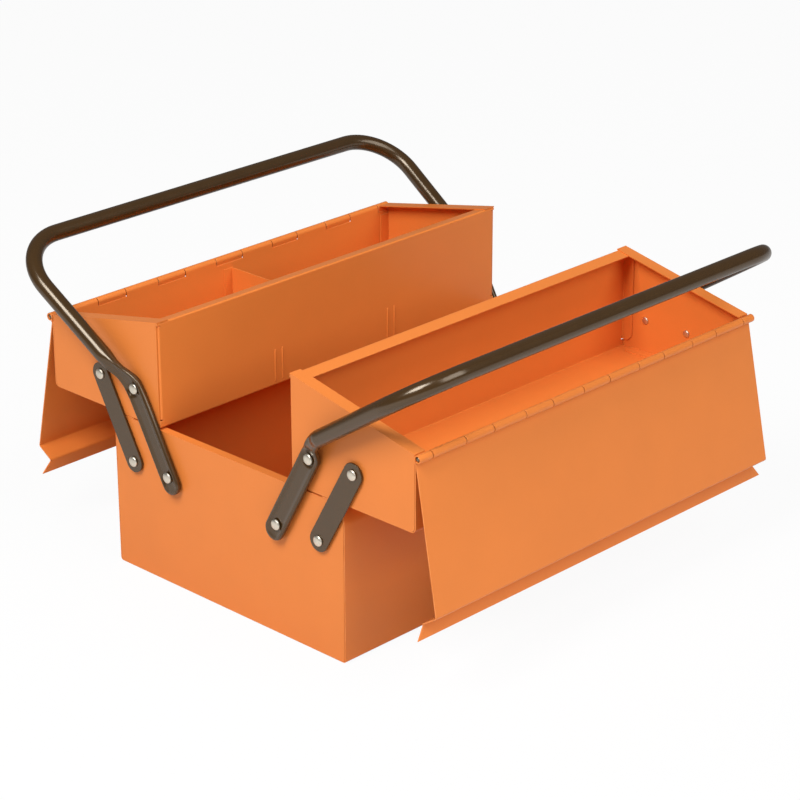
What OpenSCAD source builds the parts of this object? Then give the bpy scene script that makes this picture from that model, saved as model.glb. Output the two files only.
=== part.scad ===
// Cantilever tool box in folded sheet steel, shown open.
// Two lidded trays ride outwards on parallel links from one deep base.
// X runs along the box, Y across it, Z up. The origin is under the middle of the base.
// "near" is the -X end, "far" the +X end, "front" the -Y side, "rear" the +Y side.

/* [Base] */
// Length over the end plates
box_l = 430; // [380:1:520]
// Width of the base
base_w = 288; // [260:1:330]
// Height of the base
base_h = 146.5; // [125:0.5:170]
// Thickness of the sheet steel
sheet = 1; // [0.8:0.1:1.4]
// Outer radius of the two bottom corners
base_foot_r = 3; // [2.5:0.5:12]
// Outer radius of the two rolled top corners
base_rim_r = 20; // [12:0.5:24]
// Flat lip past each rolled top corner
base_lip = 6; // [3:0.5:12]
// Depth of the flanges along the foot and sides of an end plate
end_flange = 12; // [8:0.5:18]
// Depth of the flange along the top of a base end plate
base_top_flange = 8; // [5:0.5:12]
// Gap left round an end plate nested in its wrap
seam = 0.3; // [0.2:0.05:0.5]

/* [Trays] */
// Gap between the two trays when they are shut
tray_gap = 2; // [1.8:0.1:4]
// Height of a tray floor over the base rim
tray_clear = 0.5; // [0.4:0.1:1.5]
// Height of a tray at its inner wall
tray_inner_h = 99; // [90:0.5:115]
// Outer radius of the fold along the foot of the inner wall
fold_r = 2; // [1.6:0.1:3]
// Outer radius of the fold along the foot of the outer wall
tray_corner_r = 5; // [3:0.5:8]
// Width of the sloping flange along the top of the inner wall
rim_flange = 13.5; // [8:0.5:18]
// Width of the sloping flange along the top of a tray end plate
roof_flange = 12.5; // [8:0.5:18]
// Width of the tab that the inner wall turns behind an end plate
tab_w = 12; // [8:0.5:18]
// Height of the foot of that tab over the tray floor
tab_foot = 8; // [4:0.5:16]
// Chamfer on the foot of that tab
tab_chamfer = 5; // [2:0.5:7]

/* [Divider in the rear tray] */
// Place of the divider along the box
divider_x = 2.7; // [-60:0.1:60]
// Height of the divider over the tray floor
divider_h = 57; // [30:0.5:60]
// Width of the flanges that hold the divider
divider_flange = 10.6; // [6:0.1:16]

/* [Ribs on the rear tray] */
// Distance of each pair of ribs from the middle of the box
rib_pair_x = 72.4; // [40:0.1:120]
// Distance between the two ribs of a pair
rib_pitch = 9; // [6:0.1:14]
// Height of the foot of a rib over the tray floor
rib_foot = 5; // [4:0.5:12]
// Height of the top of a rib over the tray floor
rib_top = 34; // [24:0.5:50]
// Width of a rib
rib_d = 1.8; // [1.2:0.1:2.4]

/* [Links] */
// Distance between the two pivots of a link
link_l = 83; // [74:0.5:90]
// Lean of the links from upright, shut one way and open the other
swing = 29.2; // [24:0.1:31]
// Distance of the handle pivot from the inner wall of its tray
handle_inset = 27; // [20:0.5:32]
// Distance between the handle pivot and the strap pivot
strap_spacing = 48; // [42:0.5:60]
// Height of the tray pivots over the tray floor
pivot_lift = 32; // [26:0.5:40]
// Width of a strap
strap_w = 20.5; // [16:0.5:24]
// Thickness of a strap
strap_t = 2; // [1.5:0.1:3]

/* [Rivets] */
// Diameter of a rivet shank
rivet_d = 4.9; // [4:0.1:6]
// Diameter of a rivet head
head_d = 10; // [8:0.1:10.2]
// Height of a rivet head
head_h = 2.4; // [1.6:0.1:3]
// Diameter of the closed end of a rivet
tail_d = 7; // [6.6:0.1:9]
// Height of the closed end of a rivet
tail_h = 1.4; // [1:0.1:2.5]
// Diameter of the washer behind each link
washer_d = 10; // [8:0.5:14]
// Thickness of that washer
washer_t = 1; // [0.6:0.1:1.6]
// Radial play of a rivet in its hole
rivet_fit = 0.05; // [0.02:0.01:0.1]
// Radial play of a rivet in the top hole of a strap
loose_fit = 0.3; // [0.2:0.05:0.5]
// Play between faces that turn past each other
face_gap = 0.2; // [0.1:0.05:0.4]

/* [Handles] */
// Diameter of the handle tube
tube_d = 15; // [12:0.5:18]
// Width of the flattened ends
flat_w = 20.8; // [20:0.1:24]
// Distance from the base pivot to the middle of the round end under it
flat_over = 6; // [0:0.5:8]
// Thickness of the flattened ends
flat_t = 6; // [4.5:0.1:8]
// Depth of the dish pressed along a flattened end
dish_depth = 2; // [1:0.1:2.5]
// Radius of the dish across the flattened end
dish_r = 20; // [19:0.5:24]
// Gap between the dish and the rivet head over it
dish_gap = 0.8; // [0.7:0.05:1.2]
// Distance from the base pivot, by way of the bend, to the grip
handle_reach = 259; // [230:1:275]
// Bend between a flattened end and its leg
handle_bend = 27.5; // [22:0.5:32]
// Distance of that bend past the tray pivot on the front handle
front_bend_past = 25; // [24.5:0.5:29]
// Distance of that bend past the tray pivot on the rear handle
rear_bend_past = 9; // [5:0.5:15]
// Distance of the end of the flattening from the bend on the front handle
front_flat_past = -18; // [-18:0.5:-14]
// Distance of the end of the flattening from the bend on the rear handle
rear_flat_past = 13; // [8:0.5:20]
// Length over which the flattened end turns into round tube
blend_l = 20; // [18:0.5:22]
// Distance of the tube's axis from the end plates at the bend
leg_offset = 11; // [10:0.5:14]
// Outward splay of each leg between the bend and the grip
leg_splay = 9; // [0:0.5:14]
// Radius of the tube's axis round the corners of the grip
grip_corner_r = 49; // [36:1:56]

/* [Hinges] */
// Diameter of a hinge pin
pin_d = 5; // [4:0.1:6]
// Radial play of the pin in the knuckles
pin_fit = 0.08; // [0.03:0.01:0.1]
// Height of the hinge axis over the tray floor
hinge_h = 66.2; // [60:0.1:70]
// Depth of the notches in the outer wall below the axis
wall_notch = 7; // [6.5:0.1:9]
// Depth of the notches in the lid below the axis
lid_notch = 7; // [6.5:0.1:9]
// Length of a knuckle rolled from the tray
tray_knuckle_l = 38; // [30:0.5:44]
// Length of a knuckle rolled from the lid
lid_knuckle_l = 32.5; // [26:0.5:38]
// Gap between two knuckles
knuckle_gap = 0.5; // [0.4:0.1:1]
// Least length of the knuckle at each end of the row
end_knuckle_min = 12; // [8:1:16]
// Length of the knuckle row past each end plate
knuckle_over = 1; // [0.5:0.1:1.5]
// Length of the pin past each end of the row
pin_over = 1.5; // [0.5:0.1:2]

/* [Lids] */
// Height of the step along the free edge of a lid
lid_step_h = 16.5; // [12:0.5:20]
// Run of that step across the lid
lid_step_run = 6.5; // [4:0.5:10]
// Width of the lip past the step
lid_lip = 12.5; // [6:0.1:14]
// How far each end of a lid spreads past the end plate from the hinge to the step
lid_flare = 3; // [0:0.1:3.2]
// Chamfer across each end of the lip
lid_chamfer = 14; // [6:0.5:20]
// Gap between a shut lid and the tray under it
lid_gap = 0.3; // [0.25:0.05:0.6]
// Gap between a hanging lid and the wall that stops it
stop_gap = 0.3; // [0.25:0.05:0.6]
// Distance of a shut lip from the middle of the box
lip_meet = 0.6; // [0.5:0.1:1.5]

/* [Hidden] */
$fn = 64;
hull_fn = 32;
cut = 1;            // how far a cutter runs past what it cuts
lap = 0.5;          // how far joined solids run into each other
paint = "#ef8746";
link_paint = "#5d5242";
steel = "#cfcabc";

end_x = box_l / 2;
base_mouth = base_w - 2 * (base_rim_r + base_lip);

// Trays
tray_w = (base_w - tray_gap) / 2;
shut_y = tray_gap / 2;
open_y = shut_y + 2 * link_l * sin(swing);
tray_z = base_h + tray_clear;

// Pivots, on the rear side
handle_base_y = shut_y + handle_inset + link_l * sin(swing);
strap_base_y = handle_base_y + strap_spacing;
base_pivot_z = tray_z + pivot_lift - link_l * cos(swing);
strap_inset = handle_inset + strap_spacing;

// Rivet grips from the outer face of an end plate to the underside of the head
strap_x = washer_t + face_gap;
strap_grip = strap_x + strap_t + face_gap;
handle_grip = strap_x + flat_t - dish_depth + dish_gap;

// Hinges
knuckle_ri = pin_d / 2 + pin_fit;
knuckle_ro = knuckle_ri + sheet;
hinge_v = tray_w + knuckle_ri;
row_l = box_l + 2 * knuckle_over;
knuckle_pitch = tray_knuckle_l + lid_knuckle_l + 2 * knuckle_gap;
tray_knuckles = floor((row_l - 2 * end_knuckle_min + lid_knuckle_l) / knuckle_pitch);
end_knuckle_l = (row_l + lid_knuckle_l - tray_knuckles * knuckle_pitch) / 2;
first_tray_knuckle = end_knuckle_l + knuckle_gap - row_l / 2;

// Roof line of a tray: it clears the underside of the shut lid by lid_gap
roof_deg = atan2(tray_inner_h - hinge_h, hinge_v)
    - asin((knuckle_ri - lid_gap) / norm([tray_inner_h - hinge_h, hinge_v]));
rim_top = tray_inner_h - sheet / cos(roof_deg);
rim_under = rim_top - sheet / cos(roof_deg);

// A hanging lid leans until its back is stop_gap from the edge of the wall
lid_lean = asin(knuckle_ro / norm([knuckle_ri - stop_gap, wall_notch]))
    - atan2(knuckle_ri - stop_gap, wall_notch);

// Lid section, along the lid from the axis (s) and square to it (n)
lid_mid_n = knuckle_ri + sheet / 2;
lip_n = lid_mid_n + lid_step_h;
lip_s = (shut_y + hinge_v - lip_meet + (lip_n - sheet / 2) * sin(roof_deg)) / cos(roof_deg);
step_end_s = lip_s - lid_lip;
step_start_s = step_end_s - lid_step_run;

// Handles
front_bend_at = link_l + front_bend_past;
rear_bend_at = link_l + rear_bend_past;
flat_mid_x = end_x + strap_x + flat_t / 2;
dish_run_out = 1;   // how far the dish runs past the base pivot before it rounds off
bend_swell = 0.2;   // how much the tube's radius grows round the corners of the grip
slice_inset = 0.1;  // how far the blend starts inside the flattened section, all round

// ---- Placing ----

module to_front() {
    mirror([0, 1, 0]) children();
}

module to_near() {
    mirror([1, 0, 0]) children();
}

module at_both_ends() {
    children();
    to_near() children();
}

// Extrudes a (y, z) outline from x0 to x1
module along_x(x0, x1) {
    translate([x0, 0, 0])
        rotate([90, 0, 90])
            linear_extrude(x1 - x0)
                children();
}

// A round bar along X, from x0 to x1, at y and z
module rod_x(x0, x1, y, z, d) {
    translate([x0, y, z])
        rotate([0, 90, 0])
            cylinder(d = d, h = x1 - x0);
}

// Moves (v, z) of a tray to its open place on the rear side
module in_open_tray() {
    translate([0, open_y, tray_z]) children();
}

// ---- Outlines ----

// Upright panel on z = 0 with its own radius for the foot and the top corners
module rounded_panel(w, h, foot_r, top_r) {
    side_r = max(foot_r, top_r);
    translate([-w / 2, foot_r]) square([w, h - foot_r - top_r]);
    translate([side_r - w / 2, 0]) square([w - 2 * side_r, h]);
    for (s = [-1, 1]) {
        translate([s * (w / 2 - foot_r), foot_r]) circle(foot_r);
        translate([s * (w / 2 - top_r), h - top_r]) circle(top_r);
        translate([s * (w / 2 - side_r) - (s < 0 ? side_r - foot_r : 0), 0])
            square([side_r - foot_r, h / 2]);
    }
}

// Box section from z = 0 with rounded feet: r_in at v = 0, r_out at v = w
module rounded_trough(w, h, r_in, r_out) {
    translate([r_in, 0]) square([w - r_in - r_out, h]);
    translate([0, r_in]) square([w / 2, h - r_in]);
    translate([w / 2 - lap, r_out]) square([w / 2 + lap, h - r_out]);
    translate([r_in, r_in]) circle(r_in);
    translate([w - r_out, r_out]) circle(r_out);
}

function unit(a) = a / norm(a);
function left_of(a) = [-a[1], a[0]];
function mitre(path, i) =
    let (n = len(path) - 1,
        before = left_of(unit(path[max(i, 1)] - path[max(i, 1) - 1])),
        after = left_of(unit(path[min(i, n - 1) + 1] - path[min(i, n - 1)])))
    (before + after) / (1 + before * after);

// Folded strip of width w along the middle line of a path
module folded_strip(path, w) {
    n = len(path) - 1;
    polygon(concat(
        [for (i = [0:n]) path[i] + mitre(path, i) * w / 2],
        [for (i = [n:-1:0]) path[i] - mitre(path, i) * w / 2]));
}

// ---- Base ----

module base_wrap() {
    color(paint)
        along_x(-end_x, end_x)
            difference() {
                rounded_panel(base_w, base_h, base_foot_r, base_rim_r);
                translate([0, sheet])
                    rounded_panel(base_w - 2 * sheet, base_h - 2 * sheet,
                        base_foot_r - sheet, base_rim_r - sheet);
                translate([-base_mouth / 2, base_h / 2]) square([base_mouth, base_h]);
            }
}

// Outline of a base end plate, drawn in by inset all round
module base_end_outline(inset) {
    translate([0, sheet + inset])
        rounded_panel(base_w - 2 * (sheet + seam + inset), base_h - 2 * (sheet + inset),
            base_foot_r - sheet / 2 - inset, base_rim_r - sheet / 2 - inset);
}

module base_end() {
    difference() {
        union() {
            along_x(end_x - sheet, end_x) base_end_outline(0);
            along_x(end_x - base_top_flange, end_x - sheet + lap)
                difference() {
                    base_end_outline(0);
                    base_end_outline(sheet);
                }
            along_x(end_x - end_flange, end_x - sheet + lap)
                intersection() {
                    difference() {
                        base_end_outline(0);
                        base_end_outline(sheet);
                    }
                    translate([-base_w, 0]) square([2 * base_w, base_h - base_rim_r]);
                }
        }
        for (s = [-1, 1], y = [handle_base_y, strap_base_y])
            rod_x(end_x - end_flange, end_x + cut, s * y, base_pivot_z, rivet_d + 2 * rivet_fit);
    }
}

module base_end_far() {
    color(paint) base_end();
}

module base_end_near() {
    color(paint) to_near() base_end();
}

// ---- Trays, drawn on the rear side in (v, z): v from the inner wall, z from the floor ----

// Everything above the sloping line that starts at height h over v = 0
module above_roof(h) {
    translate([0, h])
        rotate(-roof_deg)
            translate([-tray_w, 0])
                square([3 * tray_w, tray_inner_h]);
}

// Everything below that line
module below_roof(h) {
    translate([0, h])
        rotate(-roof_deg)
            translate([-tray_w, -tray_inner_h])
                square([3 * tray_w, tray_inner_h]);
}

module tray_section() {
    difference() {
        rounded_trough(tray_w, tray_inner_h, fold_r, tray_corner_r);
        translate([sheet, sheet])
            rounded_trough(tray_w - 2 * sheet, 2 * tray_inner_h,
                fold_r - sheet, tray_corner_r - sheet);
        translate([tray_w / 2, hinge_h - wall_notch]) square([tray_w, tray_inner_h]);
        above_roof(rim_top);
    }
    difference() {
        translate([0, rim_under - rim_flange]) square([rim_flange * cos(roof_deg), rim_flange * 2]);
        above_roof(rim_top);
        below_roof(rim_under);
    }
}

module tray_knuckle(x0, l) {
    difference() {
        union() {
            rod_x(x0, x0 + l, hinge_v, hinge_h, 2 * knuckle_ro);
            translate([x0, tray_w - sheet, hinge_h - wall_notch - lap])
                cube([l, sheet, wall_notch + lap]);
        }
        rod_x(x0 - cut, x0 + l + cut, hinge_v, hinge_h, 2 * knuckle_ri);
    }
}

// The inner wall turns this tab behind the end plate
module wall_tab() {
    tab_top = rim_under - tab_w * tan(roof_deg) - seam;
    along_x(end_x - 2 * sheet, end_x - sheet)
        polygon([[sheet / 2, tab_foot], [tab_w - tab_chamfer, tab_foot],
            [tab_w, tab_foot + tab_chamfer], [tab_w, tab_top], [sheet / 2, tab_top]]);
}

module tray_wrap() {
    difference() {
        along_x(-end_x, end_x) tray_section();
        // the rim flange stops short of the end plates
        at_both_ends()
            translate([end_x - sheet - seam, sheet, tray_inner_h / 2])
                cube([sheet + seam + cut, rim_flange, tray_inner_h]);
    }
    for (i = [0:tray_knuckles - 1])
        tray_knuckle(first_tray_knuckle + i * knuckle_pitch, tray_knuckle_l);
    at_both_ends() wall_tab();
}

// Outline of a tray end plate, drawn in by inset at the foot and the outer side
module tray_end_outline(inset) {
    side = sheet + seam;
    difference() {
        translate([side + inset, sheet + inset])
            rounded_trough(tray_w - 2 * (side + inset), tray_inner_h,
                fold_r - sheet / 2, tray_corner_r - sheet / 2 - inset);
        above_roof(tray_inner_h);
    }
}

module tray_end() {
    difference() {
        union() {
            along_x(end_x - sheet, end_x) tray_end_outline(0);
            // foot and outer flanges
            along_x(end_x - end_flange, end_x - sheet + lap)
                difference() {
                    tray_end_outline(0);
                    tray_end_outline(sheet);
                    square([tab_w + seam, 2 * tray_inner_h]);
                    translate([0, hinge_h - wall_notch]) square([2 * tray_w, tray_inner_h]);
                }
            // sloping roof flange, which lies on the rim flange at its inner end
            along_x(end_x - roof_flange, end_x)
                difference() {
                    square([tray_w - sheet - seam, tray_inner_h]);
                    above_roof(tray_inner_h);
                    below_roof(rim_top);
                }
        }
        for (v = [handle_inset, strap_inset])
            rod_x(end_x - end_flange, end_x + cut, v, pivot_lift, rivet_d + 2 * rivet_fit);
    }
}

module rib(x) {
    intersection() {
        union() {
            translate([x, 0, rib_foot]) cylinder(d = rib_d, h = rib_top - rib_foot);
            translate([x, 0, rib_foot]) sphere(d = rib_d);
            translate([x, 0, rib_top]) sphere(d = rib_d);
        }
        translate([x - rib_d, -rib_d, 0]) cube([2 * rib_d, rib_d + sheet / 2, tray_inner_h]);
    }
}

module front_tray_wrap() {
    color(paint) to_front() in_open_tray() tray_wrap();
}

module rear_tray_wrap() {
    color(paint)
        in_open_tray() {
            tray_wrap();
            for (pair = [-1, 1], s = [-1, 1])
                rib(pair * rib_pair_x + s * rib_pitch / 2);
        }
}

module front_tray_end_near() {
    color(paint) to_near() to_front() in_open_tray() tray_end();
}

module front_tray_end_far() {
    color(paint) to_front() in_open_tray() tray_end();
}

module rear_tray_end_near() {
    color(paint) to_near() in_open_tray() tray_end();
}

module rear_tray_end_far() {
    color(paint) in_open_tray() tray_end();
}

// Upright sheet across the tray, held by a flange on each long wall
module rear_tray_divider() {
    color(paint)
        in_open_tray() {
            along_x(divider_x - sheet, divider_x)
                polygon([[sheet, fold_r + sheet], [fold_r + sheet, sheet],
                    [tray_w - tray_corner_r - sheet, sheet], [tray_w - sheet, tray_corner_r + sheet],
                    [tray_w - sheet, divider_h], [sheet, divider_h]]);
            for (v = [sheet, tray_w - 2 * sheet])
                translate([divider_x - divider_flange, v, tray_corner_r + sheet])
                    cube([divider_flange, sheet, divider_h - tray_corner_r - sheet]);
        }
}

// ---- Lids ----

module lid_knuckle(x0, l) {
    difference() {
        union() {
            rod_x(x0, x0 + l, 0, 0, 2 * knuckle_ro);
            translate([x0, 0, -knuckle_ro]) cube([l, lid_notch + lap, sheet]);
        }
        rod_x(x0 - cut, x0 + l + cut, 0, 0, 2 * knuckle_ri);
    }
}

// Lid drawn flat: Y away from the hinge axis, -Z towards its upper face when shut
module flat_lid() {
    side = [[end_x, lid_notch - cut], [end_x + lid_flare, step_start_s],
        [end_x + lid_flare, step_end_s], [end_x + lid_flare - lid_chamfer, lip_s + cut]];
    intersection() {
        along_x(-2 * end_x, 2 * end_x)
            folded_strip([[lid_notch, -lid_mid_n], [step_start_s, -lid_mid_n],
                [step_end_s, -lip_n], [lip_s, -lip_n]], sheet);
        translate([0, 0, -lip_n - sheet])
            linear_extrude(lip_n + 2 * sheet)
                polygon(concat(side, [for (i = [len(side) - 1:-1:0]) [-side[i][0], side[i][1]]]));
    }
    for (s = [-1, 1])
        lid_knuckle(s < 0 ? -row_l / 2 : row_l / 2 - end_knuckle_l, end_knuckle_l);
    for (i = [0:tray_knuckles - 2])
        lid_knuckle(first_tray_knuckle + i * knuckle_pitch + tray_knuckle_l + knuckle_gap,
            lid_knuckle_l);
}

// Lid hanging from the hinge of the open rear tray
module hanging_lid() {
    in_open_tray()
        translate([0, hinge_v, hinge_h])
            rotate([lid_lean - 90, 0, 0])
                flat_lid();
}

module front_lid() {
    color(paint) to_front() hanging_lid();
}

module rear_lid() {
    color(paint) hanging_lid();
}

module hinge_pin() {
    reach = row_l / 2 + pin_over;
    in_open_tray() rod_x(-reach, reach, hinge_v, hinge_h, pin_d);
}

module front_hinge_pin() {
    color(steel) to_front() hinge_pin();
}

module rear_hinge_pin() {
    color(steel) hinge_pin();
}

// ---- Links ----

// Moves a link drawn upright from its base pivot to its place on the open rear side
module on_link(y) {
    translate([0, y, base_pivot_z])
        rotate([-swing, 0, 0])
            children();
}

module strap() {
    on_link(strap_base_y)
        difference() {
            along_x(end_x + strap_x, end_x + strap_x + strap_t) {
                translate([-strap_w / 2, 0]) square([strap_w, link_l]);
                circle(d = strap_w);
                translate([0, link_l]) circle(d = strap_w);
            }
            rod_x(end_x, end_x + strap_grip, 0, 0, rivet_d + 2 * rivet_fit);
            rod_x(end_x, end_x + strap_grip, 0, link_l, rivet_d + 2 * loose_fit);
        }
}

module front_strap_near() {
    color(link_paint) to_near() to_front() strap();
}

module front_strap_far() {
    color(link_paint) to_front() strap();
}

module rear_strap_near() {
    color(link_paint) to_near() strap();
}

module rear_strap_far() {
    color(link_paint) strap();
}

// ---- Handles, drawn upright from the base pivot ----

// Moves from the link's frame to the plane of the legs, past the bend
module past_bend(bend_at) {
    translate([0, 0, bend_at])
        rotate([-handle_bend, 0, 0])
            children();
}

// Cutter for the dish: a trough with a round end at z1
module dish(z1) {
    translate([flat_mid_x + flat_t / 2 + dish_r - dish_depth, 0, 0]) {
        cylinder(r = dish_r, h = z1);
        translate([0, 0, z1]) sphere(dish_r);
    }
}

// Middle line of a flattened end. flat_past is where the flattening stops, counted from the bend
function flat_path(bend_at, flat_past) = flat_past > 0
    ? [[0, -flat_over], [0, bend_at], [0, bend_at] + flat_past * [sin(handle_bend), cos(handle_bend)]]
    : [[0, -flat_over], [0, bend_at + flat_past]];

module flat_end(bend_at, flat_past) {
    difference() {
        along_x(end_x + strap_x, end_x + strap_x + flat_t) {
            translate([0, -flat_over]) circle(d = flat_w);
            folded_strip(flat_path(bend_at, flat_past), flat_w);
        }
        dish(flat_past > 0 ? bend_at : bend_at + flat_past - dish_r / 4);
        mirror([0, 0, 1]) dish(dish_run_out);
        if (flat_past > 0)
            past_bend(bend_at) dish(flat_past - dish_r / 2);
        for (z = [0, link_l])
            rod_x(end_x, end_x + handle_grip, 0, z, rivet_d + 2 * rivet_fit);
    }
}

// Leg, corner and half of the grip on the far side, in the plane of the legs
module half_loop(leg_l, start) {
    foot_x = end_x + leg_offset;
    splay_deg = atan2(leg_splay, leg_l);
    corner_x = foot_x + leg_splay - grip_corner_r * tan(45 + splay_deg / 2);
    corner_z = leg_l - grip_corner_r;
    straight = norm([corner_x + grip_corner_r * cos(splay_deg) - foot_x,
        corner_z - grip_corner_r * sin(splay_deg)]);
    translate([foot_x, 0, 0])
        rotate([0, splay_deg, 0])
            translate([0, 0, start])
                cylinder(d = tube_d, h = straight - start + lap);
    translate([corner_x, 0, corner_z])
        rotate([90, 0, 0])
            rotate([0, 0, -splay_deg])
                rotate_extrude(angle = 90 + splay_deg)
                    translate([grip_corner_r, 0]) circle(d = tube_d + 2 * bend_swell);
    rod_x(-lap, corner_x + lap, 0, leg_l, tube_d);
}

// Thin slice of the flattened section, just inside its end at height z
module flat_slice(z) {
    translate([flat_mid_x - flat_t / 2 + slice_inset, slice_inset - flat_w / 2, z - 2 * lap])
        cube([flat_t - 2 * slice_inset, flat_w - 2 * slice_inset, lap]);
}

// Flattened section turning into round tube
module blend(bend_at, flat_past, leg_l) {
    tube_at = flat_past + blend_l;
    tube_x = end_x + leg_offset + leg_splay * tube_at / leg_l;
    hull() {
        if (flat_past > 0)
            past_bend(bend_at) flat_slice(flat_past);
        else
            flat_slice(bend_at + flat_past);
        past_bend(bend_at)
            translate([tube_x, 0, tube_at])
                sphere(d = tube_d, $fn = hull_fn);
    }
}

module half_handle(bend_at, flat_past) {
    leg_l = handle_reach - bend_at;
    flat_end(bend_at, flat_past);
    blend(bend_at, flat_past, leg_l);
    past_bend(bend_at) half_loop(leg_l, flat_past + blend_l);
}

module handle(bend_at, flat_past) {
    on_link(handle_base_y) {
        half_handle(bend_at, flat_past);
        to_near() half_handle(bend_at, flat_past);
    }
}

module front_handle() {
    color(link_paint) to_front() handle(front_bend_at, front_flat_past);
}

module rear_handle() {
    color(link_paint) handle(rear_bend_at, rear_flat_past);
}

// ---- Rivets and washers ----

// Rivet at the far end plate: closed end inside, head outside past its grip
module rivet(y, z, grip) {
    bevel = head_h / 3;
    rod_x(end_x - sheet - tail_h, end_x - sheet, y, z, tail_d);
    rod_x(end_x - sheet - lap, end_x + grip + lap, y, z, rivet_d);
    rod_x(end_x + grip, end_x + grip + head_h - bevel, y, z, head_d);
    translate([end_x + grip + head_h - bevel, y, z])
        rotate([0, 90, 0])
            cylinder(d1 = head_d, d2 = head_d - 2 * bevel, h = bevel);
}

module washer(y, z) {
    difference() {
        rod_x(end_x, end_x + washer_t, y, z, washer_d);
        rod_x(end_x - cut, end_x + washer_t + cut, y, z, rivet_d + 2 * rivet_fit);
    }
}

module base_rivets() {
    color(steel)
        at_both_ends()
            for (s = [-1, 1]) {
                rivet(s * handle_base_y, base_pivot_z, handle_grip);
                rivet(s * strap_base_y, base_pivot_z, strap_grip);
            }
}

module base_washers() {
    color(steel)
        at_both_ends()
            for (s = [-1, 1], y = [handle_base_y, strap_base_y])
                washer(s * y, base_pivot_z);
}

module tray_rivets() {
    in_open_tray()
        at_both_ends() {
            rivet(handle_inset, pivot_lift, handle_grip);
            rivet(strap_inset, pivot_lift, strap_grip);
        }
}

module tray_washers() {
    in_open_tray()
        at_both_ends()
            for (v = [handle_inset, strap_inset])
                washer(v, pivot_lift);
}

module front_tray_rivets() {
    color(steel) to_front() tray_rivets();
}

module rear_tray_rivets() {
    color(steel) tray_rivets();
}

module front_tray_washers() {
    color(steel) to_front() tray_washers();
}

module rear_tray_washers() {
    color(steel) tray_washers();
}

base_wrap();
base_end_near();
base_end_far();
front_tray_wrap();
front_tray_end_near();
front_tray_end_far();
rear_tray_wrap();
rear_tray_end_near();
rear_tray_end_far();
rear_tray_divider();
front_lid();
rear_lid();
front_hinge_pin();
rear_hinge_pin();
front_handle();
rear_handle();
front_strap_near();
front_strap_far();
rear_strap_near();
rear_strap_far();
base_rivets();
front_tray_rivets();
rear_tray_rivets();
base_washers();
front_tray_washers();
rear_tray_washers();
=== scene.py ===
"""Dresses the packed cantilever tool box: folded sheet, tubular handles, links, rivets and hinges.

Lengths are written in millimetres and become metres when a mesh is made. X runs along the box, Y across it
and Z up. Pieces of the two trays are drawn once, on the rear side, and mirrored for the front.
"""

import math

import bmesh
import bpy
from bpy.props import FloatProperty, FloatVectorProperty, IntProperty, PointerProperty
from mathutils import Matrix, Vector


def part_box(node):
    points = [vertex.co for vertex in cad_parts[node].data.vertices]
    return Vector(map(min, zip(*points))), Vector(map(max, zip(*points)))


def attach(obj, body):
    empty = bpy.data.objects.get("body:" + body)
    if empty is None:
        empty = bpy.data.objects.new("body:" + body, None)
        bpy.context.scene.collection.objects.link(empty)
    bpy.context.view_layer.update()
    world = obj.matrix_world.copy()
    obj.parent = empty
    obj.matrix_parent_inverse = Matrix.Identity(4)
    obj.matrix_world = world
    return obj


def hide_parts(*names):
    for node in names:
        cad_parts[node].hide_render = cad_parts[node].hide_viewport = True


bl_info = {
    "name": "Cantilever Tool Box",
    "version": (1, 0, 0),
    "blender": (4, 5, 0),
    "location": "View3D > Sidebar > Tool Box",
    "description": "Builds the painted sheet, handles, links and rivets of a cantilever tool box",
    "category": "Add Mesh",
}

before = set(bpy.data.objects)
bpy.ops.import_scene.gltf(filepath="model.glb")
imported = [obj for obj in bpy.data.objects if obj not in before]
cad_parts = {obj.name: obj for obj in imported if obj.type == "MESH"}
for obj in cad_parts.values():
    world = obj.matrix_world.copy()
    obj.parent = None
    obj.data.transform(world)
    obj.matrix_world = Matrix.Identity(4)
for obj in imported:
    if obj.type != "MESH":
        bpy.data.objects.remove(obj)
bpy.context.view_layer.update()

MM = 0.001
SIDES = ("front", "rear")
ENDS = ("near", "far")


# ---- What the frame says, in millimetres ----


def node_box(node):
    """Lowest and highest corner of a CAD node."""
    lo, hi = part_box(node)
    return lo / MM, hi / MM


PIN_PROUD = 1.5  # a solid pin past the row of knuckles
PIN_SUNK = 0.6  # a dressed pin's end inside that row
END_X = node_box("base_end_far")[1].x
BASE_W = node_box("base_wrap")[1].y * 2
BASE_H = node_box("base_wrap")[1].z
TRAY_Y = -node_box("front_tray_wrap")[1].y
TRAY_Z = node_box("rear_tray_wrap")[0].z
TRAY_TOP = node_box("rear_tray_end_far")[1].z - TRAY_Z
PIN_LO, PIN_HI = node_box("rear_hinge_pin")
HINGE_V = (PIN_LO.y + PIN_HI.y) / 2 - TRAY_Y
HINGE_H = (PIN_LO.z + PIN_HI.z) / 2 - TRAY_Z
PIN_R = (PIN_HI.z - PIN_LO.z) / 2
ROW_L = 2 * (PIN_HI.x - PIN_PROUD)

# Sizes shared with the part's source
SHEET = 1.0
BASE_FOOT_R = 3.0
BASE_RIM_R = 20.0
BASE_LIP = 6.0
FOLD_R = 2.0
TRAY_CORNER_R = 5.0
RIM_FLANGE = 13.5
RIM_R = 1.0
SEAM = 0.3
TAB_W = 12.0
TAB_FOOT = 8.0
TAB_CHAMFER = 5.0
TAB_GAP = 0.35
RELIEF = 1.2
ROOF = math.radians(11.8216)
KNUCKLE_R = PIN_R + 0.08 + SHEET / 2
TRAY_KNUCKLE = 38.0
LID_KNUCKLE = 32.5
TRAY_KNUCKLES = 6
LID_LEAN = math.radians(11.0554)
LID_STEP_S = 134.137
LID_STEP_RUN = 6.5
LID_STEP_H = 16.5
LID_LIP = 12.5
LID_CHAMFER = 14.0
LIP_CHAMFER_PAST = 1.2
LID_FLARE = 3.0
LINK_L = 83.0
SWING = math.radians(29.2)
LINK_X = 1.2
HANDLE_BEND = math.radians(27.5)
HANDLE_REACH = 259.0
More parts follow.
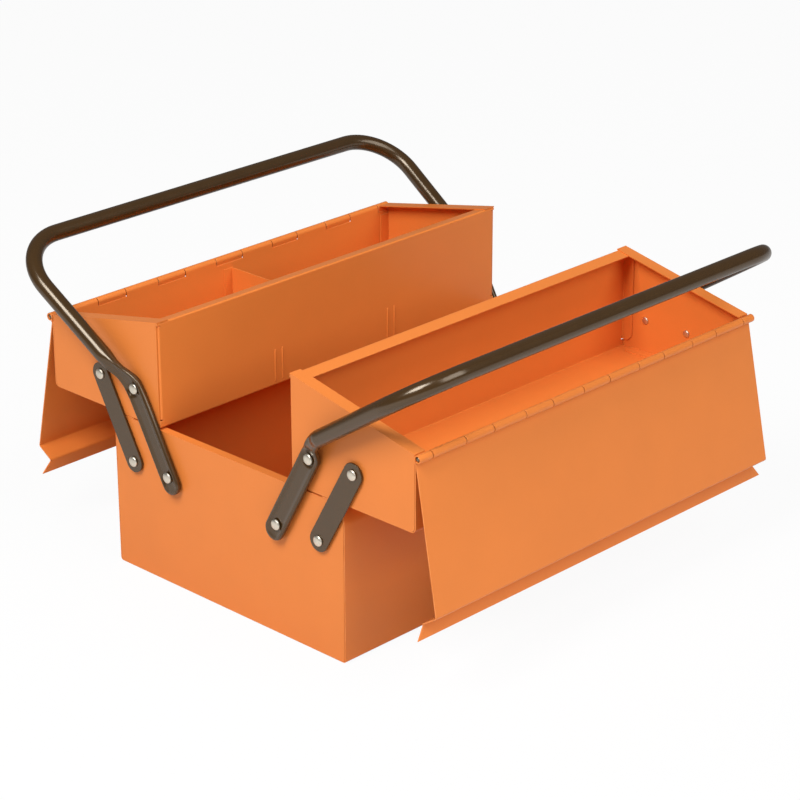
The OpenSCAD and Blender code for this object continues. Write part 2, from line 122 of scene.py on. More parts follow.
LEG_OFFSET = 11.0
LEG_SPLAY = 9.0
GRIP_CORNER_R = 49.0
FLAT_OVER = 6.0
HANDLE_PIVOT = Vector((0, 68.4924, 106.5475))
STRAP_PIVOT_Y = 116.4924
TRAY_PIVOT_Y = 108.9847
TRAY_STRAP_Y = 156.9847
TRAY_PIVOT_Z = 179.0
HANDLE_GRIP = 6.0
STRAP_GRIP = 3.4

# Curves and edges
ARC_STEP = math.radians(12)
SHARP_EDGE = math.radians(50)
FOLD_ANGLE = math.radians(35)
STRAP_EDGE_R = 0.45
MERGE_WITHIN = 0.002  # points this close are one
FLAT_WITHIN = math.radians(0.4)  # faces this level are one
TINY = 1e-4

# Hinges: gap between knuckles, and how far the cuts beside them reach from the pin into wall and lid
KNUCKLE_GAP = 1.0
WALL_NOTCH = 3.65
LID_NOTCH = 3.9

# Ribs pressed into the rear tray's inner wall: two pairs
RIB_W = 1.8
RIB_FOOT = 4.1
RIB_TOP = 34.9
RIB_PAIR_X = 72.4
RIB_FROM_PAIR = 4.5

# Flattened ends of the handles, measured along the link from the base pivot where they say "at"
FLAT_EDGE = 0.42  # radius of the flat's edges, as a share of its thickness
DRAW_L = 20.0  # length in which the flat is drawn down to its neck
NECK_R = 6.6
RISE_AT = 45.0  # the outer face rises from here by FLAT_RISE in RISE_L
RISE_L = 35.0
FLAT_RISE = 0.5
GROOVE_SHARE = 0.7  # depth of the groove, as a share of the dish under the rivets
GROOVE_WALL = 1.25  # steepness of its walls
GROOVE_FROM_END = 2.0  # it starts this far from the foot and reaches its depth in GROOVE_RUN
GROOVE_RUN = 5.0
PIT_R = 8.4  # round pit under a rivet
PIT_WALL = 3.0
STEP_PAST = 3.0  # the link steps out this far past the tray's pivot
ROUND_LEAD = 3.0  # rounding starts this far before the flattening ends

# For each handle: bend at, end of the flattening past it, length of the change to a round tube, length of
# the step out, and a factor on the bend's radius
HANDLE_SHAPES = {"front": (108.0, -4.0, 13.0, 18.0, 1.0), "rear": (92.0, 13.0, 20.0, 28.0, 2.5)}

# Rings along a handle: angles on its rounded foot, close steps round each pivot, wider ones between them
FOOT_ANGLES = (88.5, 84, 78, 70, 60, 48, 36, 24, 12, 0)
PIVOT_STEP = 0.9
FOOT_PIVOT_STEPS = 10
FLAT_START = 10.0
FLAT_STEP = 4.0
FLAT_STEPS = 15
TOP_PIVOT_REACH = 9.9
TOP_PIVOT_STEPS = 22
BEND_STEPS = 26
PAST_BLEND = 8
LEG_STEPS = 6
CORNER_STEPS = 18
GRIP_STEPS = 8

# Rivets, washers and hinge pins
HEAD_FLATNESS = 0.62
TAIL_FLATNESS = 0.5
SHANK_SUNK = 0.8  # in the head
SHANK_SIDES = 24
WASHER_T = 1.0
WASHER_PLAY = 0.1
WASHER_SIDES = 40
RIVET_BALL = (32, 20)  # segments and rings
RIB_BALL = (24, 16)
PIN_END = [(0.0, 0.48), (0.12, 0.62), (0.9, 0.72), (1.0, 1.0)]  # (depth, share of the radius)
PIN_SIDES = 32

# Paints: refraction and colour of their shine, and the lighter colour painted on the sheet's edges as
# highlight
BODY_IOR, BODY_TINT = 1.36, (1.0, 0.75, 0.60, 1.0)
LINK_IOR, LINK_TINT = 1.66, (1.0, 0.87, 0.70, 1.0)
EDGE_HIGHLIGHT_PAINT = (0.93, 0.42, 0.17)

# Stage, in metres and degrees
FLOOR_HALF = 30.0
FLOOR_Z = -0.0003
LAMP_TARGET = (0, 0, 0.15)
KEY_PLACE, KEY_SIZE = (-1.65, -0.25, 2.05), 1.15
FILL_PLACE, FILL_SIZE = (0.35, -2.9, 2.6), 2.7
CAMERA_PLACE = (-1.63662, -1.584357, 1.090189)
CAMERA_TURNS = (-45.926, 22.794, -0.139)  # azimuth, elevation and roll
SENSOR_W = 36


# ---- Settings ----


def length(name, note, size):
    """A length property whose default is in millimetres."""
    return FloatProperty(name=name, description=note, default=size * MM, unit="LENGTH")


def colour_choice(name, note, colour):
    return FloatVectorProperty(name=name, description=note, default=colour, subtype="COLOR")


def power(name, note, watts):
    return FloatProperty(name=name, description=note, default=watts, unit="POWER")


def number(name, note, amount):
    return FloatProperty(name=name, description=note, default=amount)


class SheetSettings(bpy.types.PropertyGroup):
    """Sizes of the folded sheet that the solids leave sharp."""

    edge_radius: length("Edge radius", "Rounding of a cut edge of the sheet", 0.25)
    fold_radius: length("Fold radius", "Outer rounding of a sharp fold", 2.0)
    curl_turn: FloatProperty(
        name="Curl turn",
        description="How far a hinge knuckle is rolled round its pin",
        default=math.radians(318),
        subtype="ANGLE",
    )
    rib_height: length("Rib height", "Height of a pressed rib over the wall", 0.75)


class FinishSettings(bpy.types.PropertyGroup):
    """Colours and gloss of the finishes."""

    body_colour: colour_choice("Body paint", "Colour of the box", (0.78, 0.222, 0.044))
    link_colour: colour_choice("Link paint", "Colour of handles and straps", (0.046, 0.022, 0.006))
    steel_colour: colour_choice("Steel", "Colour of the rivets and washers", (0.74, 0.68, 0.57))
    # The pins' dark brown is painted shade for the slits between the knuckles and the pins' sunk ends
    pin_shade_colour: colour_choice("Pin", "Colour of the oiled hinge pins", (0.25, 0.18, 0.12))
    body_roughness: number("Body roughness", "Roughness of the body paint", 0.30)
    link_roughness: number("Link roughness", "Roughness of the link paint", 0.19)


class HandleSettings(bpy.types.PropertyGroup):
    """Sizes of the tubular handles."""

    tube_diameter: length("Tube diameter", "Diameter of the tube", 15)
    flat_width: length("Flat width", "Width of the flattened ends", 20.8)
    flat_thickness: length("Flat thickness", "Thickness of the flattened ends", 6)
    dish_depth: length("Dish depth", "Depth of the seat of a rivet in a flattened end", 1.9)
    dish_width: length("Dish width", "Width of the groove in a flattened end", 17)
    bend_radius: length("Bend radius", "Radius of the bend above the flattened end", 34)
    sides: IntProperty(name="Sides", description="Points round the tube", default=48, min=16, max=96)


class RivetSettings(bpy.types.PropertyGroup):
    """Sizes of the rivets."""

    head_diameter: length("Head diameter", "Diameter of a rivet head", 10)
    head_height: length("Head height", "Height of a rivet head", 2.4)
    tail_diameter: length("Tail diameter", "Diameter of the closed end", 7)
    tail_height: length("Tail height", "Height of the closed end", 1.4)
    shank_diameter: length("Shank diameter", "Diameter of the shank", 4.9)
    washer_diameter: length("Washer diameter", "Diameter of the washers", 10)


class StageSettings(bpy.types.PropertyGroup):
    """Floor, lamps and camera."""

    floor_colour: colour_choice("Floor", "Colour of the floor", (0.82, 0.82, 0.82))
    sky: number("Walls", "Strength of the room's grey walls", 0.15)
    key_power: power("Key lamp", "Power of the key lamp", 57.0)
    fill_power: power("Fill lamp", "Power of the fill lamp", 86.0)
    whiteness: number("White card", "Share of plain white that the camera sees in the floor", 0.94)
    lens: number("Lens", "Focal length", 122.794)


# ---- Shader maths ----


class Value:
    """A shader socket that takes part in Python expressions."""

    def __init__(self, tree, socket):
        self.tree = tree
        self.socket = socket

    def _math(self, operation, *operands):
        return add_node(self.tree, "ShaderNodeMath", {"operation": operation}, dict(enumerate(operands)))

    def __add__(self, other):
        return self._math("ADD", self, other)

    def __radd__(self, other):
        return self._math("ADD", other, self)

    def __sub__(self, other):
        return self._math("SUBTRACT", self, other)

    def __rsub__(self, other):
        return self._math("SUBTRACT", other, self)

    def __mul__(self, other):
        return self._math("MULTIPLY", self, other)

    def __rmul__(self, other):
        return self._math("MULTIPLY", other, self)

    def smoothstep(self, low, high):
        """0 below low, 1 above high, smooth between."""
        settings = {"interpolation_type": "SMOOTHSTEP", "clamp": True}
        sockets = {"Value": self, "From Min": low, "From Max": high}
        return add_node(self.tree, "ShaderNodeMapRange", settings, sockets)


def feed(tree, socket, value):
    """Links or sets one input."""
    if isinstance(value, Value):
        tree.links.new(value.socket, socket)
    else:
        socket.default_value = value


def add_node(tree, kind, settings=None, sockets=None, output=0):
    """Adds one node with its settings and its sockets' values or links. Returns an output, if it has one."""
    node = tree.nodes.new(kind)
    for name, value in (settings or {}).items():
        setattr(node, name, value)
    for key, value in (sockets or {}).items():
        feed(tree, node.inputs[key], value)
    return Value(tree, node.outputs[output]) if node.outputs else None


def opaque(colour, factor=1.0):
    """RGBA from a colour, brightened or darkened by a factor."""
    return (*(min(c * factor, 1.0) for c in colour), 1.0)


def noise(tree, place, scale, detail=2.0):
    """Noise with this many features per metre."""
    sockets = {"Vector": place, "Scale": scale, "Detail": detail}
    return add_node(tree, "ShaderNodeTexNoise", {"noise_dimensions": "3D"}, sockets)


def mix_colour(tree, factor, a, b):
    """Colour a where factor is 0, b where it is 1."""
    node = tree.nodes.new("ShaderNodeMix")
    node.data_type = "RGBA"
    for socket, value in zip((node.inputs[0], node.inputs[6], node.inputs[7]), (factor, a, b)):
        feed(tree, socket, value)
    return Value(tree, node.outputs[2])


def bump(tree, height, distance, strength=1.0, under=None):
    """Normal with a height, in metres where strength is 1, over another normal."""
    sockets = {"Strength": strength, "Distance": distance, "Height": height}
    if under is not None:
        sockets["Normal"] = under
    return add_node(tree, "ShaderNodeBump", None, sockets)


def new_material(name):
    """Makes an empty node material. Returns its tree and object coordinates."""
    made = bpy.data.materials.new(name)
    made.use_nodes = True
    made.node_tree.nodes.clear()
    return made.node_tree, add_node(made.node_tree, "ShaderNodeTexCoord", output=3)


def finish_surface(tree, **sockets):
    """Ends a material in a Principled surface with these socket values."""
    names = {key.replace("_", " ").title().replace("Ior", "IOR"): value for key, value in sockets.items()}
    surface = add_node(tree, "ShaderNodeBsdfPrincipled", None, names)
    add_node(tree, "ShaderNodeOutputMaterial", None, {"Surface": surface})


def body_paint(name, colour, roughness, highlit_edges):
    """Gloss stoving paint with orange peel on slightly wavy sheet.

    thin is how far the paint has drawn off the edges.
    """
    tree, place = new_material(name)
    wave = noise(tree, place, 9.0, 1.0)
    peel = noise(tree, place, 420.0, 1.5)
    cloud = noise(tree, place, 23.0, 3.0)
    speck = noise(tree, place, 900.0, 1.0).smoothstep(0.70, 0.80)
    # Patches of rougher paint; on the edge faces they are also painted lighter, as painted highlight
    rubbed_and_highlit = noise(tree, place, 60.0, 4.0).smoothstep(0.62 - 0.25 * highlit_edges, 0.80 - 0.25 * highlit_edges)
    tone = mix_colour(tree, cloud, opaque(colour, 0.955), opaque(colour, 1.035))
    tone = mix_colour(tree, speck * 0.25, tone, opaque(colour, 0.72))
    if highlit_edges:
        # Painted highlight: lighter patches along the rounded edges
        tone = mix_colour(tree, rubbed_and_highlit * 0.35, tone, opaque(EDGE_HIGHLIGHT_PAINT))
    finish_surface(
        tree,
        base_color=tone,
        roughness=roughness + 0.07 * cloud + 0.10 * rubbed_and_highlit,
        ior=BODY_IOR,
        specular_tint=BODY_TINT,
        normal=bump(tree, peel, 0.00010, 0.45, bump(tree, wave, 0.0014, 0.5)),
    )


def link_paint(name, colour, roughness):
    """Dark bronze-grey gloss paint with a fine metallic fleck."""
    tree, place = new_material(name)
    cloud = noise(tree, place, 70.0, 3.0)
    fleck = noise(tree, place, 2600.0, 1.0).smoothstep(0.60, 0.72)
    peel = noise(tree, place, 520.0, 1.5)
    tone = mix_colour(tree, cloud, opaque(colour, 0.9), opaque(colour, 1.12))
    tone = mix_colour(tree, fleck * 0.5, tone, opaque(colour, 2.1))
    finish_surface(
        tree,
        base_color=tone,
        roughness=roughness + 0.06 * cloud,
        metallic=0.15 * fleck,
        ior=LINK_IOR,
        specular_tint=LINK_TINT,
        normal=bump(tree, peel, 0.00008, 0.5),
    )


def plated_steel(name, colour):
    """Zinc-plated steel with fine marks of the setting tool."""
    tree, place = new_material(name)
    stretched = add_node(tree, "ShaderNodeMapping", None, {"Vector": place, "Scale": (1.0, 5.0, 1.2)})
    brushed = noise(tree, stretched, 700.0, 3.0)
    dull = noise(tree, place, 160.0, 3.0)
    tone = mix_colour(tree, dull, opaque(colour, 0.82), opaque(colour, 1.12))
    finish_surface(
        tree,
        base_color=tone,
        metallic=1.0,
        roughness=0.26 + 0.16 * brushed + 0.10 * dull,
        normal=bump(tree, brushed, 0.00004, 0.6),
    )


def make_materials(finish):
    body_paint("sheet_gloss", finish.body_colour, finish.body_roughness, 0.0)
    # The rounded edges of the sheet take a copy with lighter patches of painted highlight
    body_paint("edge_gloss", finish.body_colour, finish.body_roughness, 1.0)
    link_paint("link_gloss", finish.link_colour, finish.link_roughness)
    plated_steel("rivet_steel", finish.steel_colour)
    # Hinge pins: dark brown steel, painted shade of the knuckles' slits
    plated_steel("pin_steel", finish.pin_shade_colour)


def material(name):
    """One of the scene's materials. The first call makes them all."""
    if name not in bpy.data.materials:
        make_materials(bpy.context.scene.toolbox_finish)
    return bpy.data.materials[name]


# ---- Making pieces ----


def settle(piece, body, slot, *nodes):
    """The piece rides on its body, takes its finish slot and stands for its CAD nodes."""
    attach(piece, body)
    if nodes:
        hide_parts(*nodes)


def place_object(name, data):
    """A new object in the scene."""
    made = bpy.data.objects.new(name, data)
    bpy.context.scene.collection.objects.link(made)
    return made


def bmesh_piece(name, bm, *materials):
    """A smooth-shaded object from a bmesh."""
    for face in bm.faces:
        face.smooth = True
    mesh_data = bpy.data.meshes.new(name)
    bm.to_mesh(mesh_data)
    bm.free()
    for m in materials:
        mesh_data.materials.append(material(m))
    return place_object(name, mesh_data)


def drawn_piece(name, bm, *materials):
    """A smooth-shaded object from a bmesh in millimetres, with its faces turned outwards."""
    bmesh.ops.scale(bm, vec=(MM,) * 3, verts=bm.verts)
    bmesh.ops.recalc_face_normals(bm, faces=bm.faces)
    return bmesh_piece(name, bm, *materials)


def tube_piece(name, rings, finish):
    """A closed tube through rings of points in millimetres."""
    bm = bmesh.new()
    loops = [[bm.verts.new(p) for p in ring] for ring in rings]
    for a, b in zip(loops, loops[1:]):
        for k in range(len(a)):
            after = (k + 1) % len(a)
            bm.faces.new((a[k], a[after], b[after], b[k]))
    bm.faces.new(loops[0])
    bm.faces.new(list(reversed(loops[-1])))
    return drawn_piece(name, bm, finish)


def even_normals(piece):
    """Keeps large flat faces looking flat beside small curved ones."""
    modifier = piece.modifiers.new("Even normals", "WEIGHTED_NORMAL")
    modifier.keep_sharp = True
    modifier.weight = 100


def soften_edges(piece, radius, edge_slot):
    """Rounds the sharp edges, in the material of edge_slot, or in the faces' own where that is -1."""
    modifier = piece.modifiers.new("Soft edges", "BEVEL")
    modifier.width = radius
    modifier.segments = 2
    modifier.limit_method = "ANGLE"
    modifier.angle_limit = SHARP_EDGE
    modifier.material = edge_slot
    even_normals(piece)


def apply_modifiers(piece):
    """Replaces a piece's mesh by its evaluated one."""
    graph = bpy.context.evaluated_depsgraph_get()
    shown = piece.evaluated_get(graph)
    made = bpy.data.meshes.new_from_object(shown, preserve_all_data_layers=True, depsgraph=graph)
    piece.modifiers.clear()
    piece.data = made


# ---- Folded sheet ----


def arc(centre, radius, start, turn):
    """Points of an arc, with its two ends."""
    count = max(2, math.ceil(abs(turn) / ARC_STEP))
    angles = (start + turn * k / count for k in range(count + 1))
    return [Vector((centre[0] + radius * math.cos(a), centre[1] + radius * math.sin(a))) for a in angles]


def rounded_path(corners):
    """Points along a line given as (y, z, radius) corners."""
    spots = [Vector(c[:2]) for c in corners]
    points = [spots[0]]
    for i in range(1, len(corners) - 1):
        inward, outward = (spots[i] - spots[i - 1]).normalized(), (spots[i + 1] - spots[i]).normalized()
        turn = inward.angle_signed(outward)
        radius = corners[i][2]
        if radius == 0 or abs(turn) < TINY:
            points.append(spots[i])
            continue
        side = -1 if turn > 0 else 1  # angle_signed counts clockwise turns as positive
        first = spots[i] - inward * radius * math.tan(abs(turn) / 2)
        normal = Vector((-inward.y, inward.x)) * side
        start = math.atan2(-normal.y, -normal.x)
        points += arc(first + normal * radius, radius, start, side * abs(turn))
    return points + [spots[-1]]


def sheet_grid(path, columns, place, present):
    """A bmesh grid: one row for each path point, one column for each X.

    place gives the spot of a row and a column, and present says which cells are sheet.
    """
    bm = bmesh.new()
    grid = {}

    def corner(i, j):
        if (i, j) not in grid:
            grid[i, j] = bm.verts.new(place(i, path[i], j, columns[j]))
        return grid[i, j]

    for i in range(len(path) - 1):
        for j in range(len(columns) - 1):
            if present(i, j):
                bm.faces.new((corner(i, j), corner(i + 1, j), corner(i + 1, j + 1), corner(i, j + 1)))
    return bm


def sheet_piece(name, bm, settings, mirrored):
    """Turns a grid of the sheet's middle into a painted piece of real thickness."""
    if mirrored:
        bmesh.ops.scale(bm, vec=(1, -1, 1), verts=bm.verts)
    piece = drawn_piece(name, bm, "sheet_gloss", "edge_gloss")
    solid = piece.modifiers.new("Thickness", "SOLIDIFY")
    solid.thickness = SHEET * MM
    solid.offset = 0
    solid.use_even_offset = True
    solid.use_quality_normals = True
    # The rounded edges take the second material, with its painted highlight
    soften_edges(piece, settings.edge_radius, 1)
    apply_modifiers(piece)
    return piece


def knuckle_starts():
    """Near end of each knuckle that belongs to a tray."""
    pitch = TRAY_KNUCKLE + LID_KNUCKLE + 2 * KNUCKLE_GAP
    end_knuckle = (ROW_L + LID_KNUCKLE - TRAY_KNUCKLES * pitch) / 2
    return [end_knuckle + KNUCKLE_GAP - ROW_L / 2 + i * pitch for i in range(TRAY_KNUCKLES)]


def tray_columns(edge):
    """X of each column of a tray wrap, and the indices of the columns that carry knuckles.

    edge has the columns at the near end, which the far end mirrors.
    """
    columns, knuckles = list(edge), set()
    for start in knuckle_starts():
        knuckles.add(len(columns))
        columns += [start, start + TRAY_KNUCKLE]
    return columns + [-x for x in reversed(edge)], knuckles


def lid_columns():
    """X of each column of a lid, and the indices of the columns that carry knuckles."""
    edge = ROW_L / 2
    columns, knuckles = [-edge, -END_X], {0, 1}
    for start in knuckle_starts():
        columns += [start - KNUCKLE_GAP, start + TRAY_KNUCKLE + KNUCKLE_GAP]
        knuckles.add(len(columns) - 1)
    columns += [END_X, edge]
    knuckles.add(len(columns) - 2)
    return columns, knuckles


def row_at(path, z):
    """Index of the first path point at this height."""
    return next(i for i, p in enumerate(path) if abs(p.y - z) < TINY)


def build_base_wrap(settings):
    half, top, inner = BASE_W / 2 - SHEET / 2, BASE_H - SHEET / 2, BASE_W / 2 - BASE_RIM_R - BASE_LIP
    foot_r, rim_r = BASE_FOOT_R - SHEET / 2, BASE_RIM_R - SHEET / 2
    path = rounded_path(
        [
            (-inner, top, 0),
            (-half, top, rim_r),
            (-half, SHEET / 2, foot_r),
            (half, SHEET / 2, foot_r),
            (half, top, rim_r),
            (inner, top, 0),
        ]
    )
    bm = sheet_grid(path, [-END_X, 0, END_X], lambda i, p, j, x: (x, p.x, p.y), lambda i, j: True)
    piece = sheet_piece("base_wrap_sheet", bm, settings, False)
    settle(piece, "base", "orange_paint", "base_wrap")


def tab_fold():
    """The fold that takes the inner wall behind an end plate.

    Its points are (inward from the plate's face, behind the wall's face).
    """
    mid = SHEET / 2
    depth = SHEET + TAB_GAP + mid
    return rounded_path([(depth, TAB_W, 0), (depth, mid, FOLD_R - mid), (depth + FOLD_R, mid, 0)])


def build_tray_wrap(settings, side):
    """Inner wall, bottom and outer wall in one sheet, rolled into knuckles along the hinge.

    Between two reliefs the inner wall's ends are folded behind the end plates. Its rim's flange is cut back
    at both ends.
    """
    mid = SHEET / 2
    rim_z = TRAY_TOP - 1.5 * SHEET / math.cos(ROOF)
    flange = RIM_FLANGE * math.cos(ROOF)
    tab_top = TRAY_TOP - 2 * SHEET / math.cos(ROOF) - TAB_W * math.tan(ROOF) - SEAM
    fold_top = rim_z - FOLD_R
    wall = rounded_path(
        [
            (flange, rim_z - flange * math.tan(ROOF), 0),
            (mid, rim_z, RIM_R),
            (mid, fold_top, 0),
            (mid, fold_top - RELIEF, 0),
            (mid, TAB_FOOT + TAB_CHAMFER, 0),
            (mid, TAB_FOOT, 0),
            (mid, TAB_FOOT - RELIEF, 0),
            (mid, mid, FOLD_R - mid),
            (HINGE_V - KNUCKLE_R, mid, TRAY_CORNER_R - mid),
            (HINGE_V - KNUCKLE_R, HINGE_H - WALL_NOTCH, 0),
        ]
    )
    curl = arc((HINGE_V, HINGE_H), KNUCKLE_R, math.pi, -settings.curl_turn)
    path = wall + curl
    curl_row = len(wall) - 1
    fold = tab_fold()
    bends = len(fold)
    columns, knuckles = tray_columns([-END_X + (FOLD_R + SHEET + mid) * k / bends for k in range(bends)])
    last = len(columns) - 1
    first_tab, last_tab = row_at(path, fold_top - RELIEF), row_at(path, TAB_FOOT)

    def place(i, p, j, x):
        k = min(j, last - j)
        if first_tab <= i <= last_tab and k < bends:
            inward, behind = fold[k]
            height = p.y
            if k == 0:
                height = min(height, tab_top)
                behind -= TAB_CHAMFER if i == last_tab else 0
            return math.copysign(END_X - inward, x), TRAY_Y + behind, TRAY_Z + height
        return x, TRAY_Y + p.x, TRAY_Z + p.y

    def present(i, j):
        if i >= curl_row:
            return j in knuckles
        at_end = min(j, last - 1 - j) < bends - 1
        return not (at_end and i in (0, first_tab - 1, last_tab))

    bm = sheet_grid(path, columns, place, present)
    piece = sheet_piece(f"{side}_tray_wrap_sheet", bm, settings, side == "front")
    settle(piece, f"{side}_tray", "orange_paint", f"{side}_tray_wrap")


def build_lid(settings, side):
    """Hanging lid: knuckles, panel, and the step and lip along its free edge.

    Its outline is drawn along the panel, from the middle of the pin, and then turned to hang down.
    """
    step_end = LID_STEP_S + LID_STEP_RUN
    lip_s = step_end + LID_LIP
    lip_start = step_end + LIP_CHAMFER_PAST
    curl = arc((0, 0), KNUCKLE_R, -math.pi / 2 - settings.curl_turn, settings.curl_turn)
    panel = rounded_path(
        [
            (LID_NOTCH, -KNUCKLE_R, 0),
            (LID_STEP_S, -KNUCKLE_R, FOLD_R),
            (step_end, -KNUCKLE_R - LID_STEP_H, FOLD_R),
            (lip_s, -KNUCKLE_R - LID_STEP_H, 0),
        ]
    )
    path = curl + panel
    panel_row = len(curl)
    columns, knuckles = lid_columns()
    last = len(columns) - 1
    turn = Matrix.Rotation(LID_LEAN - math.pi / 2, 2)

    def place(i, p, j, x):
        if abs(x) == END_X and i >= panel_row:
            flare = LID_FLARE * min(p.x / LID_STEP_S, 1)
            cut = LID_CHAMFER * max(p.x - lip_start, 0) / (lip_s - lip_start)
            x += math.copysign(flare - cut, x)
        y, z = turn @ p
        return x, TRAY_Y + HINGE_V + y, TRAY_Z + HINGE_H + z

    def present(i, j):
        return j in knuckles if i < panel_row else 0 < j < last - 1

    bm = sheet_grid(path, columns, place, present)
    piece = sheet_piece(f"{side}_lid_sheet", bm, settings, side == "front")
    settle(piece, f"{side}_lid", "orange_paint", f"{side}_lid")


# ---- Pieces that keep their solid's shape, with folds and edges rounded ----


def merged_copy(node):
    """The node's mesh as one closed shell of large flat faces."""
    bm = bmesh.new()
    bm.from_mesh(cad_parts[node].data)
    bmesh.ops.remove_doubles(bm, verts=bm.verts, dist=MERGE_WITHIN * MM)
    bmesh.ops.dissolve_limit(bm, angle_limit=FLAT_WITHIN, verts=bm.verts, edges=bm.edges)
    return bm


def face_width(face):
    """Area of a face over half its outline: its thickness where it is long and narrow."""
    return 2 * face.calc_area() / face.calc_perimeter()


def build_plate(node, body, settings):
    """A folded plate. Folds between broad faces get the fold radius, cut edges the edge radius."""
    bm = merged_copy(node)
    weight = bm.edges.layers.float.new("bevel_weight_edge")
    edge_share = settings.edge_radius / settings.fold_radius
    for edge in bm.edges:
        if len(edge.link_faces) != 2 or edge.calc_face_angle() < FOLD_ANGLE:
            continue
        fold = min(face_width(face) for face in edge.link_faces) > 2 * SHEET * MM
        edge[weight] = 1.0 if fold and edge.is_convex else edge_share
    piece = bmesh_piece(f"{node}_plate", bm, "sheet_gloss")
    modifier = piece.modifiers.new("Folds", "BEVEL")
    modifier.width = settings.fold_radius
    modifier.segments = 3
    modifier.limit_method = "WEIGHT"
    even_normals(piece)
    apply_modifiers(piece)
    settle(piece, body, "orange_paint", node)


def build_strap(node):
    piece = bmesh_piece(f"{node}_bar", merged_copy(node), "link_gloss")
    soften_edges(piece, STRAP_EDGE_R * MM, -1)
    apply_modifiers(piece)
    settle(piece, node, "brown_paint", node)


# ---- Handles ----


def smooth(t):
    t = min(max(t, 0.0), 1.0)
    return t * t * (3 - 2 * t)


def link_frame(side):
    """Moves a link drawn upright from its base pivot to its open place."""
    place = Matrix.Translation(HANDLE_PIVOT) @ Matrix.Rotation(-SWING, 4, "X")
    return Matrix.Scale(-1, 4, (0, 1, 0)) @ place if side == "front" else place


def handle_stations(side, settings):
    """(centre, tangent, across, along, roundness, drawn in) from the far foot to the middle of the grip.

    across is the direction of the flat's width. along is the distance from the base pivot, and None in the
    grip. roundness is 0 where the tube is flat and 1 where it is round. drawn in is 1 where the flat has come
    down to its neck.
    """
    bend_at, flat_past, blend_l, step_out_l, easing = HANDLE_SHAPES[side]
    flat_x = END_X + LINK_X + settings.flat_thickness / MM / 2
    foot_x = END_X + LEG_OFFSET
    leg_l = HANDLE_REACH - bend_at
    splay = math.atan2(LEG_SPLAY, leg_l)
    bend_r = settings.bend_radius / MM * easing
    bend_t = bend_r * math.tan(HANDLE_BEND / 2)
    flat_end = bend_at + flat_past
    flat_r = settings.flat_width / MM / 2
    corner_x = foot_x + LEG_SPLAY - GRIP_CORNER_R * math.tan(math.pi / 4 + splay / 2)
    corner_l = leg_l - GRIP_CORNER_R
    leg_end = corner_l - GRIP_CORNER_R * math.sin(splay)

    def on_spine(s):
        """Place in the link's plane at distance s from the base pivot, and the direction there."""
        if s <= bend_at - bend_t:
            return Vector((0, 0, s)), 0.0
        turned = min((s - bend_at + bend_t) / (2 * bend_t), 1.0) * HANDLE_BEND
        if turned < HANDLE_BEND:
            centre = Vector((0, bend_r, bend_at - bend_t))
            return centre + bend_r * Vector((0, -math.cos(turned), math.sin(turned))), turned
        past = s - bend_at
        return Vector((0, math.sin(HANDLE_BEND) * past, bend_at + math.cos(HANDLE_BEND) * past)), HANDLE_BEND

    spots = [-FLAT_OVER - flat_r * math.sin(math.radians(a)) for a in FOOT_ANGLES]
    spots += [PIVOT_STEP * k for k in range(1, FOOT_PIVOT_STEPS + 1)]
    spots += [FLAT_START + FLAT_STEP * k for k in range(1, FLAT_STEPS + 1)]
    spots += [LINK_L - TOP_PIVOT_REACH + PIVOT_STEP * k for k in range(TOP_PIVOT_STEPS)]
    for stop, steps in ((flat_end + blend_l + PAST_BLEND, BEND_STEPS), (bend_at + leg_end, LEG_STEPS)):
        start = spots[-1]
        spots += [start + (stop - start) * k / steps for k in range(1, steps + 1)]
    rows = []
    for s in spots:
        centre, turned = on_spine(s)
        roundness = smooth((s - flat_end + ROUND_LEAD) / (blend_l + ROUND_LEAD))
        tube_x = foot_x + math.tan(splay) * max(s - bend_at, 0)
        centre.x = flat_x + (tube_x - flat_x) * smooth((s - LINK_L - STEP_PAST) / step_out_l)
        tangent = Vector((0, math.sin(turned), math.cos(turned)))
        if roundness >= 1:
            tangent = (tangent + Vector((math.tan(splay), 0, 0))).normalized()
        across = Vector((0, math.cos(turned), -math.sin(turned)))
        drawn_in = smooth((s - flat_end + DRAW_L) / DRAW_L)
        rows.append((centre, tangent, across, s, roundness, drawn_in))

    up = Vector((0, math.sin(HANDLE_BEND), math.cos(HANDLE_BEND)))
    across = Vector((0, math.cos(HANDLE_BEND), -math.sin(HANDLE_BEND)))
    hub, _ = on_spine(bend_at + corner_l)
    hub.x = corner_x
    quarter = math.pi / 2 + splay
    for k in range(1, CORNER_STEPS + 1):
        angle = -splay + quarter * k / CORNER_STEPS
        centre = hub + GRIP_CORNER_R * (Vector((math.cos(angle), 0, 0)) + up * math.sin(angle))
        tangent = -math.sin(angle) * Vector((1, 0, 0)) + up * math.cos(angle)
        rows.append((centre, tangent, across, None, 1.0, 1.0))
    for k in range(1, GRIP_STEPS + 1):
        centre = hub + up * GRIP_CORNER_R - Vector((corner_x * k / GRIP_STEPS, 0, 0))
        rows.append((centre, Vector((-1, 0, 0)), across, None, 1.0, 1.0))
    return rows


